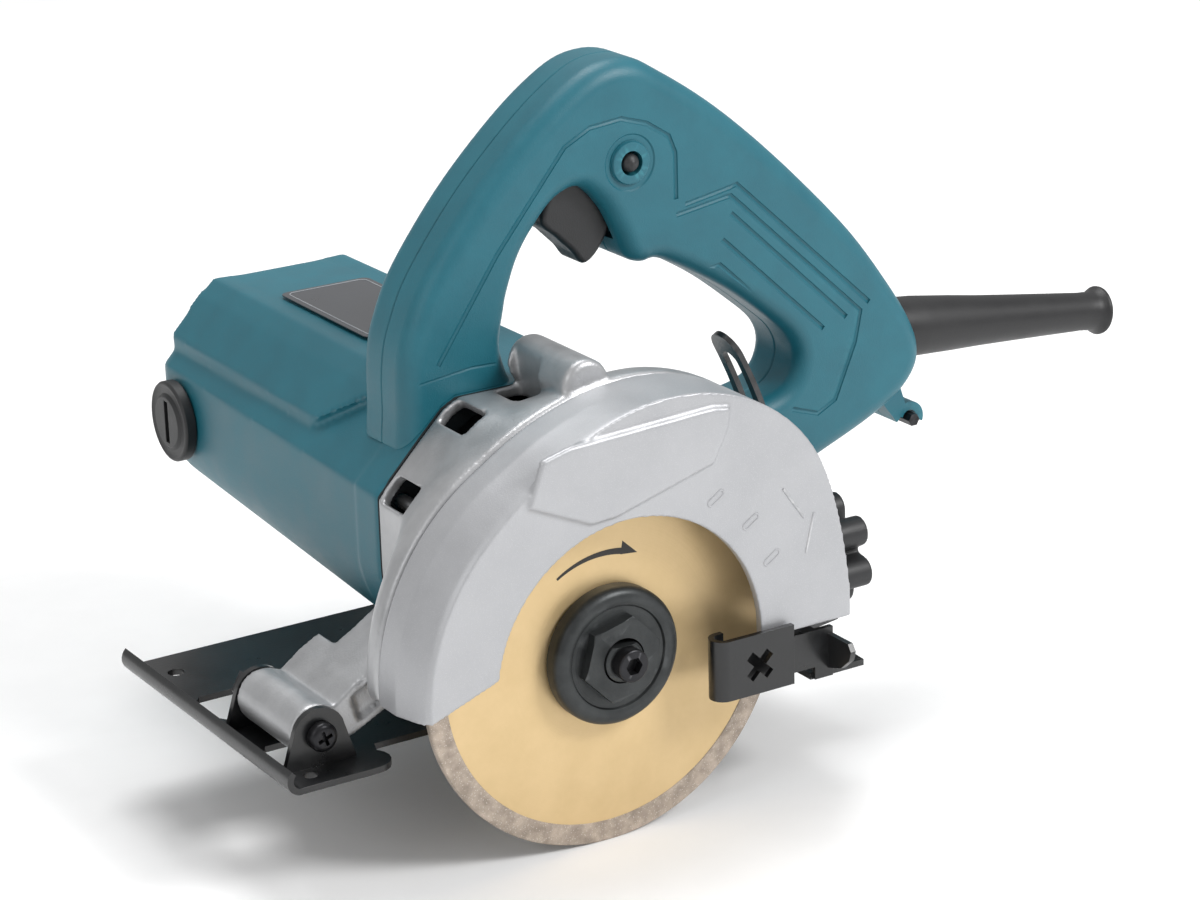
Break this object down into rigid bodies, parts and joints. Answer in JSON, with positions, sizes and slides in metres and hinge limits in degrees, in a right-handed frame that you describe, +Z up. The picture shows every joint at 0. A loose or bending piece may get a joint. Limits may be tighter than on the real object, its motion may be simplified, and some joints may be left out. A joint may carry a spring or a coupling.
{
  "type": "wet tile saw",
  "caption": "Handheld electric wet tile saw with a diamond blade, silver half guard, teal sideways motor, D handle with trigger, and a tilting base plate for depth.",
  "frame": {"origin": "on the underside of the base plate, 60 mm from the blade's plane towards the motor, in line with the spindle axis", "axes": "+X to the rear of the saw where the cord leaves, +Y along the spindle towards the motor, +Z up, square to the base plate"},
  "size_m": [0.3065, 0.2074, 0.2017],
  "materials": {
    "teal_nylon": "fine matt moulded nylon",
    "cast_aluminium": "blasted casting",
    "silver_paint": "satin silver paint on a casting",
    "black_steel": "semi-gloss black coat on pressed steel",
    "bright_steel": "zinc or ground steel",
    "blackened_flange": "blackened turned steel",
    "gold_lacquer": "gold lacquer over a steel blank",
    "dark_plastic": "fine matt",
    "black_rubber": "matt rubber",
    "copper": "copper bars and windings",
    "lamination_steel": "stacked laminations",
    "carbon": "pressed carbon",
    "label_film": "plain dark film"
  },
  "bodies": {
    "housing": {"armature_front_bearing": "bright_steel", "armature_rear_bearing": "bright_steel", "bearing_plate": "cast_aluminium", "blade_guard": "silver_paint", "brush_cap_front": "dark_plastic", "brush_cap_rear": "dark_plastic", "brush_holder_front": "bright_steel", "brush_holder_rear": "bright_steel", "carbon_brush_front": "carbon", "carbon_brush_rear": "carbon", "cord_clamp": "dark_plastic", "cord_guard": "black_rubber", "gear_housing": "cast_aluminium", "guard_screw_1": "bright_steel", "guard_screw_2": "bright_steel", "handle_blade_half": "teal_nylon", "handle_motor_half": "teal_nylon", "handle_screw_1": "bright_steel", "handle_screw_2": "bright_steel", "handle_screw_3": "bright_steel", "handle_screw_4": "bright_steel", "housing_screw_1": "bright_steel", "housing_screw_2": "bright_steel", "housing_screw_3": "bright_steel", "housing_screw_4": "bright_steel", "motor_housing": "teal_nylon", "rating_label": "label_film", "spindle_front_bearing": "bright_steel", "spindle_rear_bearing": "bright_steel", "stator_core": "lamination_steel", "supply_lead": "black_rubber", "switch_body": "dark_plastic", "trigger_spring": "bright_steel"},
    "spindle": {"spindle": "bright_steel", "drive_gear": "bright_steel", "inner_flange": "blackened_flange", "diamond_blade": "gold_lacquer", "outer_flange": "blackened_flange", "arbor_bolt": "black_steel"},
    "armature": {"armature_shaft": "bright_steel", "armature_core": "lamination_steel", "commutator": "copper", "cooling_fan": "dark_plastic", "motor_pinion": "bright_steel"},
    "base": {"base_plate": "black_steel", "depth_guide": "black_steel", "guide_rivet": "bright_steel", "pivot_bolt": "black_steel", "pivot_nut": "black_steel"},
    "trigger": {"trigger": "dark_plastic"},
    "lock_button": {"lock_button": "dark_plastic"},
    "depth_clamp": {"depth_clamp_knob": "dark_plastic", "depth_clamp_spacer": "dark_plastic", "depth_clamp_stud": "bright_steel"},
    "hex_wrench": {"hex_wrench": "black_steel"}
  },
  "joints": [
    {"name": "spindle_spin", "type": "hinge", "parent": "housing", "child": "spindle", "pos_m": [0, -0.06, 0.0205], "axis": [0, 1, 0], "continuous": true},
    {"name": "armature_spin", "type": "hinge", "parent": "housing", "child": "armature", "pos_m": [0, 0.04, 0.0465], "axis": [0, 1, 0], "continuous": true},
    {"name": "depth_pivot", "type": "hinge", "parent": "base", "child": "housing", "pos_m": [-0.0777, -0.027, 0.0103], "axis": [0, -1, 0], "range_deg": [0, 23]},
    {"name": "trigger_pull", "type": "hinge", "parent": "housing", "child": "trigger", "pos_m": [0.0335, -0.006, 0.132], "axis": [0, 1, 0], "range_deg": [0, 9], "stiffness_Nm_per_rad": 0.5, "springref_deg": -5.73, "deforming": ["trigger_spring"]},
    {"name": "lock_press", "type": "slide", "parent": "housing", "child": "lock_button", "axis": [0, 1, 0], "range_m": [0, 0.0025], "stiffness_N_per_m": 600, "springref_m": -0.002},
    {"name": "depth_clamp_turn", "type": "hinge", "parent": "housing", "child": "depth_clamp", "pos_m": [0.09, -0.026, 0.0165], "axis": [1, 0, 0], "range_deg": [0, 360]},
    {"name": "hex_wrench_pull", "type": "slide", "parent": "housing", "child": "hex_wrench", "axis": [0, 1, 0], "range_m": [0, 0.03]}
  ],
  "couplings": [
    {"joint": "armature_spin", "follows": "spindle_spin", "ratio": -1.8889}
  ]
}
